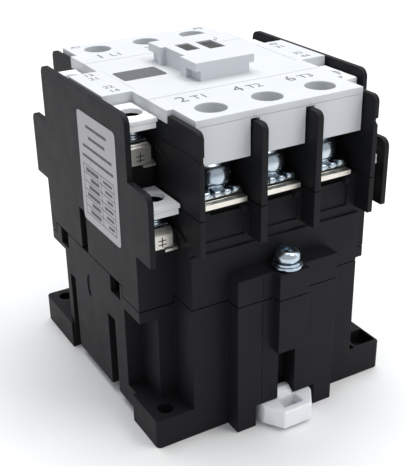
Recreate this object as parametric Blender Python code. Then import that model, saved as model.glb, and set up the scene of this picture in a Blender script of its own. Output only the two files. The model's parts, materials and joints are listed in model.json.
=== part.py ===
"""Three-pole DIN rail contactor with two auxiliary tiers on each side.

Named dimensions are in millimetres and heights are measured from the mounting panel; UNIT turns
them into metres. Poles run along X, the load side faces -Y and the front cover faces +Z. Every
object hangs from one empty that lowers the panel plane below the origin, so that the origin is
the centre of the face that sits on the 35 mm rail.
"""
import math

import bmesh
import bpy
from mathutils import Matrix, Vector

UNIT = 0.001
GAP = 0.3            # clearance between pieces that touch on the real object
PAST = 1.0           # how far a cutting tool runs past the face it opens
WELD = 0.001
SCREW_SIDES = 10
HOLE_SIDES = 12

# Base and mounting
FEET_X = 37.5        # half width over the feet
FEET_Y = 39.5        # half length over the feet
FOOT_TOP = 8.8
FOOT_HOLE = (32.5, 35.0)
FOOT_HOLE_RADIUS = 2.3
FRONT_FOOT_END = 24.9
BACK_FOOT_END = 18.3
RAIL_SEAT = 2.6      # height of the rail seat above the panel
RAIL_HOOK_TOP = 1.3
RAIL_HOOK_REACH = 1.3
RAIL_HOOK_X = 12.0
WALL_X = 36.5        # outer face of the side walls
MID_Y = 30.0         # half length of the side walls at the seam
END_X = 26.2         # half width of the end walls
END_Y = 39.5
TOWER_X = 15.6
TOWER_Y = 44.5
BOSS_X = 4.6
BOSS_Y = 47.2
BOSS_BOTTOM = 23.3
SEAM = 39.2          # top of the base at the ends
SEAM_CORNER = 37.0   # top of the base at the ends of the side walls
SEAM_MID = 40.3      # top of the base along the middle of the side walls
SEAM_STEP_FRONT = 20.0
SEAM_STEP_BACK = 26.0
FLOOR_TOP = 10.0     # inner floor of the base
BASE_ROOMS = ((34.5, 19.0), (29.3, 28.0), (24.2, 37.5))   # half sizes of the stepped inner room
SEAM_GROOVE = ((26.2, 34.5), (18.0, 24.5), 35.0)
UNDER_POCKET = ((13.0, 33.0), 15.5, 8.0)
RECESS_X = 31.3      # the corner recesses over the feet
RECESS_Y = 20.5
RECESS_TOP = 33.7
SLOT_FLOOR_X = 34.0
SIDE_SLOTS = ((14.2, 17.8), (-13.9, -9.2))
SIDE_SLOT_TOP = 26.6
SIDE_WINDOWS = ((-18.5, -12.4), (17.2, 22.6))
SIDE_WINDOW_BOTTOM = 35.2
CLIP_CHANNEL_X = 9.7
CLIP_CHANNEL_TOP = 6.7
CLIP_CHANNEL_END = 12.4
TOWER_SLOT_X = 2.7
TOWER_SLOT_DEPTH = 5.5

# Contact housing
TOWER_TOP = 46.8
LEDGE = 54.3         # top of the lower end walls
DECK = 66.0          # seat of the main terminal plates
POLE_WALL_Y = 38.9
POLE_PITCH = 16.1
RIB_HALF = 0.95
RIB_Y = 44.5
RIB_BOTTOM = 56.2
BARRIER_X = (24.7, 26.2)
DECK_ROOM = (23.6, 36.8, 62.0)   # half sizes and top of the room under the deck
HOUSING_TOP = 88.3
RIB_TOP = 87.1
AUX_WALL_X = 35.0    # inner face of the side walls
AUX_ROOM_X = (27.6, 34.9)
AUX_ROOM_LOW = (28.0, 56.6)      # half length and top of the room under the lower tier
AUX_ROOM_HIGH = (20.4, 56.0)     # half length and floor of the room over it
AUX_PORT = ((27.0, 34.2), (20.0, 23.0))
AUX_HOLE = (55.0, 2.2)           # floor and radius of the holes under the auxiliary screws
WALL_SLOT = ((1.7, 6.1), (SEAM_MID, 53.4))
LOW_TIER_Y = 38.0
LOW_TIER_BOTTOM = 53.6
LOW_TIER_TOP = 72.6
UP_TIER_Y = 27.2
SIDE_TOP = 89.3
AUX_X = 30.6         # centre line of the auxiliary terminals
TIERS = {            # plate top, flap face, screw centre and the guard's ends, on each tier
    "lower": {"plate": 60.7, "flap": 33.2, "screw": 28.4, "root": 22.3, "lip": 35.5},
    "upper": {"plate": 79.7, "flap": 23.0, "screw": 18.2, "root": 11.2, "lip": 25.2},
}
AUX_PLATE = 0.8
AUX_PLATE_X = 3.2
AUX_FLAP = 5.2
COIL_BLOCK_X = 24.0
COIL_BLOCK_Y = 47.4
COIL_X = 18.0
COIL_SCREW_Y = 43.8
COIL_HOLE = (41.5, 1.9)
COIL_LEG_SLOT = (2.2, (40.0, 41.6))
TOWER_SCREW_Y = 43.4
TOWER_SCREW_HOLE = 1.8
TOWER_SCREW_FLOOR = 29.0

# Terminals and contacts
PLATE_X = 6.0
PLATE_Y = (11.0, 40.0)
PLATE_NECK = (20.5, 4.0)         # where the plate widens, and its half width behind that
PLATE = 1.5
LEAD_IN = (38.2, 0.15)   # where the plate's lowered front strip starts, and by how much
MAIN_SCREW_Y = 33.0
MAIN_HOLE = (58.0, 2.4)
TIP_X = 3.0
TIP_Y = (11.4, 15.4)
CONTACT_TIP = 1.2
CONTACT_GAP = 4.8
BRIDGE = 1.2
AUX_BRIDGE = 0.8

# Magnet and carrier
CORE_X = 18.0
CORE_Y = 9.0
CORE_LEG = 5.0
CORE_MID = 5.5
CORE_FEET = 12.6
CORE_YOKE = 6.4
CORE_FACE = 33.0
CORE_GAP = 5.0
CARRIER_X = 21.5
CARRIER_Y = 4.5
CARRIER_FOOT = 3.0
CARRIER_SLACK = 0.6
CARRIER_TOP = 82.7
ARM = (68.4, 72.4)    # the arms that reach the auxiliary contacts
ARM_WAY = (29.0, 3.6)
AUX_FRAME = ((28.0, 33.1), 2.6, (57.0, 80.4))
AUX_FRAME_WINDOWS = ((64.9, 68.0), (74.4, 79.2))
WINDOW_X = 4.6        # half width of the windows that hold the moving contacts
BOBBIN_TOP = 32.0
BOBBIN_FLANGE = (12.6, 17.0, 1.4)
WINDING_HALF = (11.8, 15.8)
ARC_TOP = 84.4
ARC_Y = 24.0
ARC_WALL = 1.6
ARC_ROOF = 1.3
TAB_TOP = 94.2
TABS = (((-4.1, -0.7), (-0.6, 6.1)), ((2.3, 6.5), (-2.1, 5.8)))

# Cover and guards
COVER_TOP = 89.6
COVER_SKIN = 2.2
COVER_X = 24.4
COVER_Y = 40.0
COVER_EDGE = 86.3
SHOULDER_X = 26.3     # the cover widens over the barrier walls, back from here
SHOULDER_Y = 29.3
WING_X = 34.6
WING_Y = 10.8
APRON_BOTTOM = 78.0
APRON_SKIN = 1.6
EDGE_SKIN = 1.2
DRIVER_HOLE_RADIUS = 4.0
COLLAR_RADIUS = 5.2
COLLAR_BOTTOM = 80.4
BLOCK_X = 9.0
BLOCK_Y = 13.4
BLOCK_TOP = 94.6
BLOCK_INSET = 1.5
BLOCK_SKIN = (2.3, 2.0, 1.6)     # wall thickness along X and Y, and of the roof
BLOCK_NOTCH = (-5.0, 6.0)
BLOCK_WAIST = 8.2
LIP_BOTTOM = 92.3
TAB_CLEARANCE = 0.4
ROUND_SIDES = 20
GUARD_X = (26.6, 34.6)
GUARD_LIP = 2.8
GUARD_ABOVE_PLATE = 7.3
GUARD_RAIL_X = 33.4
GUARD_SKIN = 1.4
GUARD_HOLE_RADIUS = 3.2
GUARD_LIP_SKIN = 1.3

# Rail clip
CLIP_X = 7.9
CLIP_BOTTOM = 0.8
CLIP_TOP = 6.4
CLIP_TIP = 50.8
CLIP_FINGER_X = 2.4
CLIP_FINGER_TOP = 8.2
CLIP_JAW = 16.4
CLIP_JAW_LENGTH = 2.4
CLIP_CHAMFER = 3.5
CLIP_TAPER = 5.2       # how far behind the tip the sides start to draw in
CLIP_WINDOW = (2.9, (2.3, 6.0))  # half width, and how far behind the tip it starts and ends

MATERIALS = {        # colour, roughness, metallic
    "black_moulding": ((0.016, 0.017, 0.019), 0.52, 0.0),
    "grey_moulding": ((0.70, 0.72, 0.74), 0.45, 0.0),
    "white_moulding": ((0.80, 0.82, 0.83), 0.42, 0.0),
    "tinned_copper": ((0.66, 0.64, 0.60), 0.32, 1.0),
    "bright_zinc": ((0.62, 0.66, 0.70), 0.22, 1.0),
    "nylon": ((0.83, 0.84, 0.86), 0.38, 0.0),
    "core_steel": ((0.30, 0.30, 0.31), 0.45, 1.0),
    "rubber": ((0.03, 0.03, 0.03), 0.85, 0.0),
    "bobbin_nylon": ((0.55, 0.52, 0.44), 0.55, 0.0),
    "enamelled_copper": ((0.50, 0.20, 0.07), 0.40, 0.6),
    "carrier_moulding": ((0.030, 0.028, 0.028), 0.60, 0.0),
    "contact_copper": ((0.72, 0.42, 0.26), 0.35, 1.0),
    "spring_steel": ((0.50, 0.50, 0.52), 0.30, 1.0),
}

for stale in list(bpy.data.objects):
    bpy.data.objects.remove(stale, do_unlink=True)


def new_collection(name):
    collection = bpy.data.collections.new(name)
    bpy.context.scene.collection.children.link(collection)
    return collection


PARTS = new_collection("din_rail_contactor")
TOOLS = new_collection("cutters")
FRAME = bpy.data.objects.new("panel_plane", None)
FRAME.location.z = -RAIL_SEAT * UNIT
PARTS.objects.link(FRAME)


def material(name):
    """The named Principled material, made on first use."""
    if name in bpy.data.materials:
        return bpy.data.materials[name]
    colour, roughness, metallic = MATERIALS[name]
    made = bpy.data.materials.new(name)
    made.use_nodes = True
    shader = made.node_tree.nodes["Principled BSDF"]
    shader.inputs["Base Color"].default_value = (*colour, 1.0)
    shader.inputs["Roughness"].default_value = roughness
    shader.inputs["Metallic"].default_value = metallic
    made.diffuse_color = (*colour, 1.0)
    return made


def mesh_object(name, shape, collection, finish=None, smooth=False):
    """A bmesh in millimetres turned into an object in metres that hangs from the panel plane."""
    bmesh.ops.recalc_face_normals(shape, faces=shape.faces)
    bmesh.ops.scale(shape, vec=(UNIT, UNIT, UNIT), verts=shape.verts)
    mesh = bpy.data.meshes.new(name)
    shape.to_mesh(mesh)
    shape.free()
    if smooth:
        mesh.shade_smooth()
        mesh.set_sharp_from_angle(angle=math.radians(35))
    if finish:
        mesh.materials.append(material(finish))
    made = bpy.data.objects.new(name, mesh)
    collection.objects.link(made)
    made.parent = FRAME
    return made


def box_shape(x, y, z):
    """A box between the low and high ends of each of the three ranges."""
    shape = bmesh.new()
    bmesh.ops.create_cube(shape, size=1.0)
    low = Vector((min(x), min(y), min(z)))
    high = Vector((max(x), max(y), max(z)))
    bmesh.ops.scale(shape, vec=high - low, verts=shape.verts)
    bmesh.ops.translate(shape, vec=(low + high) / 2, verts=shape.verts)
    return shape


def rod_shape(x, y, z, radius, sides=HOLE_SIDES):
    """An upright rod."""
    shape = bmesh.new()
    low, high = min(z), max(z)
    place = Matrix.Translation((x, y, (low + high) / 2))
    bmesh.ops.create_cone(shape, cap_ends=True, segments=sides, radius1=radius, radius2=radius,
                          depth=high - low, matrix=place)
    return shape


def turned_shape(x, y, profile, sides):
    """A profile of (radius, height) points, on the axis at both ends, spun about an upright axis."""
    shape = bmesh.new()
    verts = [shape.verts.new((radius, 0.0, height)) for radius, height in profile]
    edges = [shape.edges.new(pair) for pair in zip(verts, verts[1:])]
    bmesh.ops.spin(shape, geom=verts + edges, axis=(0, 0, 1), cent=(0, 0, 0), steps=sides,
                   angle=2 * math.pi)
    bmesh.ops.remove_doubles(shape, verts=shape.verts, dist=WELD)
    bmesh.ops.translate(shape, vec=(x, y, 0), verts=shape.verts)
    return shape


def outline_shape(points, span, axis):
    """An outline extruded across the range span along axis; points are the other two coordinates."""
    shape = bmesh.new()
    order = {"X": (2, 0, 1), "Y": (0, 2, 1), "Z": (0, 1, 2)}[axis]
    rings = []
    for height in span:
        ring = []
        for a, b in points:
            spots = (a, b, height)
            ring.append(shape.verts.new([spots[k] for k in order]))
        rings.append(ring)
    shape.faces.new(rings[0])
    shape.faces.new(rings[1])
    for k in range(len(points)):
        after = (k + 1) % len(points)
        shape.faces.new((rings[0][k], rings[0][after], rings[1][after], rings[1][k]))
    return shape


def combine(target, shape, operation):
    """Cut shape from target, or join it on, with a Boolean modifier."""
    number = len(target.modifiers) + 1
    tool = mesh_object(f"{target.name}_tool_{number}", shape, TOOLS)
    tool.hide_render = True
    tool.display_type = "WIRE"
    modifier = target.modifiers.new(tool.name, "BOOLEAN")
    modifier.operation = operation
    modifier.solver = "EXACT"
    modifier.object = tool


def cut(target, shape):
    combine(target, shape, "DIFFERENCE")


def join(target, shape):
    combine(target, shape, "UNION")


def both(reach):
    return (-reach, reach)


def toward(side, near, far):
    """The range from near to far on the given side of zero."""
    return tuple(sorted((side * near, side * far)))


SIDES = (-1, 1)
POLES = (-POLE_PITCH, 0.0, POLE_PITCH)
RIBS = (-POLE_PITCH / 2, POLE_PITCH / 2)
ENDS = {"load": -1, "line": 1}
HANDS = {"left": -1, "right": 1}


# --- Casings -----------------------------------------------------------------------------------

def base_housing():
    base = mesh_object("base_housing", box_shape(both(WALL_X), both(MID_Y), (0, SEAM_CORNER)),
                       PARTS, "black_moulding")
    join(base, box_shape(both(END_X), both(END_Y), (0, SEAM)))
    join(base, box_shape(both(TOWER_X), both(TOWER_Y), (0, SEAM)))
    join(base, box_shape(both(FEET_X), both(FEET_Y), (0, FOOT_TOP)))
    join(base, box_shape(both(BOSS_X), both(BOSS_Y), (BOSS_BOTTOM, SEAM)))
    skirt = (-SEAM_STEP_FRONT, SEAM_STEP_BACK)
    join(base, box_shape(both(WALL_X), skirt, (SEAM_CORNER - PAST, SEAM_MID)))

    cut(base, box_shape(both(FEET_X + PAST), (-FRONT_FOOT_END, BACK_FOOT_END), (-PAST, RAIL_SEAT)))
    for side in SIDES:
        between = toward(side, WALL_X, FEET_X + PAST)
        cut(base, box_shape(between, (-FRONT_FOOT_END, BACK_FOOT_END), (-PAST, FOOT_TOP + PAST)))
    for room_x, room_y in BASE_ROOMS:
        cut(base, box_shape(both(room_x), both(room_y), (FLOOR_TOP, SEAM_MID + PAST)))
    groove_x, groove_y, groove_floor = SEAM_GROOVE
    pocket_x, pocket_y, pocket_top = UNDER_POCKET
    for side in SIDES:
        cut(base, box_shape(toward(side, *groove_x), groove_y, (groove_floor, SEAM_MID + PAST)))
        outside = toward(side, RECESS_X, WALL_X + PAST)
        for end in SIDES:
            deep = toward(end, RECESS_Y, MID_Y + PAST)
            cut(base, box_shape(outside, deep, (FOOT_TOP, RECESS_TOP)))
            hole = rod_shape(side * FOOT_HOLE[0], end * FOOT_HOLE[1], (-PAST, FOOT_TOP + PAST),
                             FOOT_HOLE_RADIUS)
            cut(base, hole)
        through = toward(side, SLOT_FLOOR_X, WALL_X + PAST)
        for slot in SIDE_SLOTS:
            cut(base, box_shape(through, slot, (RAIL_SEAT - PAST, SIDE_SLOT_TOP)))
        for window in SIDE_WINDOWS:
            cut(base, box_shape(through, window, (SIDE_WINDOW_BOTTOM, SEAM_MID + PAST)))
        cut(base, box_shape(toward(side, *pocket_x), both(pocket_y), (-PAST, pocket_top)))
    channel = (-TOWER_Y - PAST, -CLIP_CHANNEL_END)
    cut(base, box_shape(both(CLIP_CHANNEL_X), channel, (-PAST, CLIP_CHANNEL_TOP)))
    cut(base, box_shape(both(TOWER_SLOT_X), (-TOWER_Y - PAST, -TOWER_Y + TOWER_SLOT_DEPTH),
                        (CLIP_CHANNEL_TOP - PAST, BOSS_BOTTOM - GAP)))
    for end in SIDES:
        cut(base, rod_shape(0, end * TOWER_SCREW_Y, (TOWER_SCREW_FLOOR, SEAM + PAST),
                           TOWER_SCREW_HOLE))
    hook = (BACK_FOOT_END - RAIL_HOOK_REACH, BACK_FOOT_END + PAST)
    join(base, box_shape(both(RAIL_HOOK_X), hook, (0, RAIL_HOOK_TOP)))
    return base


def contact_housing():
    low = SEAM + GAP
    corner = SEAM_CORNER + GAP
    housing = mesh_object("contact_housing", box_shape(both(END_X), both(END_Y), (low, LEDGE)),
                          PARTS, "black_moulding")
    join(housing, box_shape(both(END_X), both(POLE_WALL_Y), (LEDGE - PAST, DECK)))
    join(housing, box_shape(both(WALL_X), both(MID_Y), (corner, LOW_TIER_BOTTOM + PAST)))
    cut(housing, box_shape(both(END_X + GAP), both(END_Y), (corner - PAST, low)))
    join(housing, box_shape(both(TOWER_X), both(TOWER_Y), (low, TOWER_TOP)))
    join(housing, box_shape(both(BOSS_X), (-BOSS_Y, 0), (low, TOWER_TOP)))
    join(housing, box_shape(both(COIL_BLOCK_X), (0, COIL_BLOCK_Y), (low, TOWER_TOP)))
    for side in SIDES:
        wall = toward(side, AUX_WALL_X, WALL_X)
        join(housing, box_shape(wall, both(LOW_TIER_Y), (LOW_TIER_BOTTOM, LOW_TIER_TOP)))
        join(housing, box_shape(wall, both(UP_TIER_Y), (LOW_TIER_TOP - PAST, SIDE_TOP)))
        inside = toward(side, END_X - PAST, WALL_X - PAST / 2)
        lower, upper = TIERS["lower"], TIERS["upper"]
        shelf = lower["plate"] - AUX_PLATE - GAP
        step = upper["plate"] - AUX_PLATE - GAP
        join(housing, box_shape(inside, both(lower["flap"] - AUX_PLATE - GAP),
                                (LOW_TIER_BOTTOM, shelf)))
        above = toward(side, END_X + GAP, WALL_X - PAST / 2)
        join(housing, box_shape(above, both(upper["flap"] - AUX_PLATE - GAP),
                                (shelf - PAST, step)))
        barrier = toward(side, *BARRIER_X)
        join(housing, box_shape(barrier, both(RIB_Y), (RIB_BOTTOM, DECK)))
    for x in RIBS:
        join(housing, box_shape((x - RIB_HALF, x + RIB_HALF), both(RIB_Y), (RIB_BOTTOM, DECK)))

    # Hollow under the deck, the well of the carrier and the channel of each auxiliary side.
    room_x, room_y, room_top = DECK_ROOM
    cut(housing, box_shape(both(room_x), both(room_y), (low - PAST, room_top)))
    cut(housing, box_shape(both(CARRIER_X + CARRIER_SLACK), both(CARRIER_Y + CARRIER_SLACK),
                           (room_top - PAST, DECK + PAST)))
    for side in SIDES:
        hollow = toward(side, *AUX_ROOM_X)
        cut(housing, box_shape(hollow, both(AUX_ROOM_LOW[0]), (corner - PAST, AUX_ROOM_LOW[1])))
        cut(housing, box_shape(hollow, both(AUX_ROOM_HIGH[0]), (AUX_ROOM_HIGH[1], SIDE_TOP + PAST)))
        arm_way = toward(side, CARRIER_X, ARM_WAY[0])
        cut(housing, box_shape(arm_way, both(ARM_WAY[1]), (corner - PAST, ARM[1] + PAST)))
        skirt = (-SEAM_STEP_FRONT - GAP, SEAM_STEP_BACK + GAP)
        outer = toward(side, AUX_ROOM_X[0], WALL_X + PAST)
        cut(housing, box_shape(outer, skirt, (corner - PAST, SEAM_MID + GAP)))
        cut(housing, box_shape(toward(side, SLOT_FLOOR_X, WALL_X + PAST), *WALL_SLOT))
        lower = TIERS["lower"]
        for end in SIDES:
            wall = toward(end, *AUX_PORT[1])
            slot = (lower["plate"] - AUX_PLATE - GAP, lower["plate"] + GAP)
            cut(housing, box_shape(toward(side, *AUX_PORT[0]), wall, slot))
            guard_top = lower["plate"] + GUARD_ABOVE_PLATE
            rail = (guard_top - GUARD_LIP - GAP, guard_top + GAP)
            cut(housing, box_shape(toward(side, GUARD_RAIL_X - GAP, AUX_ROOM_X[1]), wall, rail))
            cut(housing, rod_shape(side * AUX_X, end * lower["screw"], (AUX_HOLE[0], lower["plate"]),
                                   AUX_HOLE[1]))
    for x in POLES:
        for end in SIDES:
            cut(housing, rod_shape(x, end * MAIN_SCREW_Y, (MAIN_HOLE[0], DECK + PAST), MAIN_HOLE[1]))
    for end in SIDES:
        cut(housing, rod_shape(0, end * TOWER_SCREW_Y, (low - PAST, TOWER_TOP + PAST),
                               TOWER_SCREW_HOLE))
    for side in SIDES:
        half, slot = COIL_LEG_SLOT
        leg = toward(side, COIL_X - half, COIL_X + half)
        cut(housing, box_shape(leg, slot, (low + 2.0, TOWER_TOP + PAST)))
        cut(housing, rod_shape(side * COIL_X, COIL_SCREW_Y, (COIL_HOLE[0], TOWER_TOP + PAST),
                               COIL_HOLE[1]))
    return housing


def arc_housing():
    """The arc chamber over the contacts, with the barrier walls and pole ribs that run out of it."""
    low = DECK + GAP
    ceiling = ARC_TOP - ARC_ROOF
    arc = mesh_object("arc_housing", box_shape(both(BARRIER_X[1]), both(ARC_Y), (low, ARC_TOP)),
                      PARTS, "black_moulding")
    for side in SIDES:
        wall = toward(side, *BARRIER_X)
        join(arc, box_shape(wall, both(RIB_Y), (low, HOUSING_TOP)))
    chambers = [(-BARRIER_X[0], RIBS[0] - RIB_HALF), (RIBS[0] + RIB_HALF, RIBS[1] - RIB_HALF),
                (RIBS[1] + RIB_HALF, BARRIER_X[0])]
    for chamber in chambers:
        cut(arc, box_shape(chamber, both(ARC_Y - ARC_WALL), (low - PAST, ceiling)))
    cut(arc, box_shape(both(CARRIER_X + CARRIER_SLACK), both(CARRIER_Y + CARRIER_SLACK),
                       (low - PAST, ceiling)))
    for x in RIBS:
        for end in SIDES:
            rib = box_shape((x - RIB_HALF, x + RIB_HALF), toward(end, ARC_Y - 1.0, RIB_Y),
                            (low, RIB_TOP))
            join(arc, rib)
    # The cover's edge runs over the ribs and along the inside of the barrier walls.
    for end in SIDES:
        cover_run = toward(end, ARC_Y, COVER_Y + GAP)
        cut(arc, box_shape(both(BARRIER_X[0] - 0.5), cover_run, (COVER_EDGE - 0.6, COVER_TOP)))
    cut(arc, box_shape(both(BARRIER_X[1] + PAST), both(SHOULDER_Y + GAP),
                       (COVER_EDGE - GAP, COVER_TOP)))
    for side in SIDES:
        cut(arc, box_shape(toward(side, CARRIER_X, BARRIER_X[1] + PAST), both(ARM_WAY[1]),
                           (low - PAST, ceiling)))
    for x in POLES:
        for end in SIDES:
            slot = (low - PAST, DECK + GAP + PLATE + GAP)
            cut(arc, box_shape((x - PLATE_X - GAP, x + PLATE_X + GAP),
                               toward(end, ARC_Y - 2 * ARC_WALL, ARC_Y + PAST), slot))
    tabs_x = [value for x, _ in TABS for value in x]
    tabs_y = [value for _, y in TABS for value in y]
    cut(arc, box_shape((min(tabs_x) - CARRIER_SLACK, max(tabs_x) + 2.0),
                       (min(tabs_y) - CARRIER_SLACK, max(tabs_y) + CARRIER_SLACK),
                       (ceiling - PAST, ARC_TOP + PAST)))
    return arc


def front_cover():
    under = COVER_TOP - COVER_SKIN
    cover = mesh_object("front_cover", box_shape(both(COVER_X), both(COVER_Y),
                                                 (APRON_BOTTOM, COVER_TOP)), PARTS, "grey_moulding")
    apron_back = COVER_Y - APRON_SKIN
    cut(cover, box_shape(both(COVER_X - EDGE_SKIN), both(apron_back), (APRON_BOTTOM - PAST, under)))
    for side in SIDES:
        edge = toward(side, COVER_X - EDGE_SKIN - PAST, COVER_X + PAST)
        cut(cover, box_shape(edge, both(apron_back), (APRON_BOTTOM - PAST, COVER_EDGE)))
    join(cover, box_shape(both(SHOULDER_X), both(SHOULDER_Y), (COVER_EDGE, COVER_TOP)))
    cut(cover, box_shape(both(SHOULDER_X - EDGE_SKIN), both(SHOULDER_Y - EDGE_SKIN),
                         (COVER_EDGE - PAST, under)))
    for x in RIBS:
        slot = (x - RIB_HALF - GAP, x + RIB_HALF + GAP)
        cut(cover, box_shape(slot, both(COVER_Y + PAST), (APRON_BOTTOM - PAST, RIB_TOP + GAP)))
    join(cover, box_shape(both(WING_X), both(WING_Y), (COVER_EDGE, COVER_TOP)))
    cut(cover, box_shape(both(WING_X - EDGE_SKIN), both(WING_Y - EDGE_SKIN),
                         (COVER_EDGE - PAST, under)))
    for x in POLES:
        for end in SIDES:
            y = end * MAIN_SCREW_Y
            join(cover, rod_shape(x, y, (COLLAR_BOTTOM, COVER_TOP - PAST), COLLAR_RADIUS,
                                  ROUND_SIDES))
            cut(cover, rod_shape(x, y, (COLLAR_BOTTOM - PAST, COVER_TOP + PAST),
                                 DRIVER_HOLE_RADIUS, ROUND_SIDES))
    join(cover, box_shape(both(BLOCK_X), both(BLOCK_Y), (COVER_TOP - PAST, BLOCK_TOP)))
    for side in SIDES:
        inset = toward(side, BLOCK_X - BLOCK_INSET, BLOCK_X + PAST)
        cut(cover, box_shape(inset, BLOCK_NOTCH, (COVER_TOP, BLOCK_TOP + PAST)))
        for end in SIDES:
            cut(cover, box_shape(inset, toward(end, BLOCK_WAIST, BLOCK_Y + PAST), (COVER_TOP, LIP_BOTTOM)))
    skin_x, skin_y, roof = BLOCK_SKIN
    cut(cover, box_shape(both(BLOCK_X - skin_x), both(BLOCK_Y - skin_y),
                         (under - PAST, BLOCK_TOP - roof)))
    for x, y in TABS:
        cut(cover, box_shape((x[0] - TAB_CLEARANCE, x[1] + TAB_CLEARANCE),
                             (y[0] - TAB_CLEARANCE, y[1] + TAB_CLEARANCE),
                             (BLOCK_TOP - roof - PAST, BLOCK_TOP + PAST)))
    return cover


def aux_guard(name, side, tier):
    """A strip with a holed, lipped shield over the terminal at each end of one tier."""
    lip = TIERS[tier]["lip"]
    top = TIERS[tier]["plate"] + GUARD_ABOVE_PLATE
    screw = TIERS[tier]["screw"]
    x = toward(side, *GUARD_X)
    rail = (top - GUARD_LIP, top - GUARD_SKIN + 0.2)
    guard = mesh_object(name, box_shape(toward(side, GUARD_RAIL_X, GUARD_X[1]), both(lip - PAST),
                                        rail), PARTS, "white_moulding")
    for end in SIDES:
        join(guard, box_shape(x, toward(end, TIERS[tier]["root"], lip), (top - GUARD_SKIN, top)))
        join(guard, box_shape(x, toward(end, lip - GUARD_LIP_SKIN, lip), (top - GUARD_LIP, top)))
        cut(guard, rod_shape(side * AUX_X, end * screw, (top - GUARD_LIP - PAST, top + PAST),
                             GUARD_HOLE_RADIUS))
    return guard


# --- Terminals and screws ----------------------------------------------------------------------

def main_terminal(name, x, end):
    low = DECK + GAP
    plate = mesh_object(name, box_shape((x - PLATE_X, x + PLATE_X), toward(end, PLATE_NECK[0], PLATE_Y[1]),
                                        (low, low + PLATE)), PARTS, "tinned_copper")
    join(plate, box_shape((x - PLATE_NECK[1], x + PLATE_NECK[1]),
                          toward(end, PLATE_Y[0], PLATE_NECK[0] + PAST), (low, low + PLATE)))
    join(plate, box_shape((x - TIP_X, x + TIP_X), toward(end, *TIP_Y),
                          (low + PLATE / 2, low + PLATE + CONTACT_TIP)))
    cut(plate, rod_shape(x, end * MAIN_SCREW_Y, (low - PAST, low + PLATE + PAST), MAIN_HOLE[1]))
    strip = toward(end, LEAD_IN[0], PLATE_Y[1] + PAST)
    cut(plate, box_shape((x - PLATE_X - PAST, x + PLATE_X + PAST), strip,
                         (low + PLATE - LEAD_IN[1], low + PLATE + PAST)))
    return plate


def headed_screw(name, x, y, seat, sizes, clamp=None):
    """A pan-head screw turned in one with its washers, and a captive clamp where one is given."""
    start = seat + GAP
    head = start + sizes["washer_height"]
    top = head + sizes["head_height"]
    profile = [(0.0, seat - sizes["reach"]), (sizes["shank"], seat - sizes["reach"]),
               (sizes["shank"], start), (sizes["washer"], start), (sizes["washer"], head),
               (sizes["head"], head), (sizes["head"], head + 0.45 * sizes["head_height"]),
               (sizes["crown"], top), (0.0, top)]
    screw = mesh_object(name, turned_shape(x, y, profile, SCREW_SIDES), PARTS, "bright_zinc", True)
    if clamp:
        half_x, half_y = clamp
        join(screw, box_shape((x - half_x, x + half_x), (y - half_y, y + half_y),
                              (start + 0.05, start + 1.6)))
    depth = (top - 0.5 * sizes["head_height"], top + PAST)
    slot, arm = sizes["slot"]
    cut(screw, box_shape((x - arm, x + arm), (y - slot, y + slot), depth))
    cut(screw, box_shape((x - slot, x + slot), (y - arm, y + arm), depth))
    return screw


def screw_sizes(shank, reach, washer, head, crown, slot):
    """Radii, and (radius, height) of the washers and of the head; slot is its half width and arm."""
    return {"shank": shank, "reach": reach, "washer": washer[0], "washer_height": washer[1],
            "head": head[0], "head_height": head[1], "crown": crown, "slot": slot}


MAIN_SCREW = screw_sizes(2.0, 6.5, (3.9, 3.0), (4.7, 4.4), 3.0, (0.5, 2.4))
AUX_SCREW = screw_sizes(1.7, 3.4, (2.9, 0.9), (2.8, 2.3), 1.9, (0.35, 1.5))
ASSEMBLY_SCREW = screw_sizes(1.5, 15.0, (3.5, 1.6), (3.3, 3.2), 2.2, (0.45, 2.0))


def aux_terminal(name, side, end, tier):
    """A stamped terminal: a plate from the contact to the screw, with a flap bent down in front."""
    top = TIERS[tier]["plate"]
    flap = TIERS[tier]["flap"]
    screw = TIERS[tier]["screw"]
    x = side * AUX_X
    z = (top - AUX_PLATE, top)
    wide = (x - AUX_PLATE_X, x + AUX_PLATE_X)
    plate = mesh_object(name, box_shape(wide, toward(end, screw - 4.0, flap), z), PARTS,
                        "tinned_copper")
    join(plate, box_shape((x - 1.8, x + 1.8), toward(end, 7.0, screw - 3.0), z))
    join(plate, box_shape(wide, toward(end, flap - AUX_PLATE, flap), (top - AUX_FLAP, top)))
    cut(plate, rod_shape(x, end * screw, (top - 2.0, top + PAST), 2.0))
    return plate


def coil_terminal(name, side):
    x = side * COIL_X
    low = TOWER_TOP + GAP
    plate = mesh_object(name, box_shape((x - 3.6, x + 3.6), (40.4, COIL_BLOCK_Y - 0.4),
                                        (low, low + 0.8)), PARTS, "tinned_copper")
    join(plate, box_shape((x - 1.6, x + 1.6), (40.4, 41.2), (low - 5.0, low + 0.4)))
    cut(plate, rod_shape(x, COIL_SCREW_Y, (low - PAST, low + 2.0), 1.9))
    return plate


# --- Magnet, carrier and contacts --------------------------------------------------------------

def laminated_core(name, yoke, legs):
    core = mesh_object(name, box_shape(both(CORE_X), both(CORE_Y), yoke), PARTS, "core_steel")
    for side in SIDES:
        join(core, box_shape(toward(side, CORE_X - CORE_LEG, CORE_X), both(CORE_Y), legs))
    join(core, box_shape(both(CORE_MID), both(CORE_Y), legs))
    return core


def coil_bobbin():
    hub = (both(CORE_MID + 1.6), both(CORE_Y + 1.6))
    low, high = CORE_FEET + CORE_YOKE + GAP, BOBBIN_TOP
    bobbin = mesh_object("coil_bobbin", box_shape(*hub, (low, high)), PARTS, "bobbin_nylon")
    half_x, half_y, flange = BOBBIN_FLANGE
    for z in ((low, low + flange), (high - flange, high)):
        join(bobbin, box_shape(both(half_x), both(half_y), z))
    cut(bobbin, box_shape(both(CORE_MID + 0.4), both(CORE_Y + 0.4), (low - PAST, high + PAST)))
    return bobbin


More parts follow.
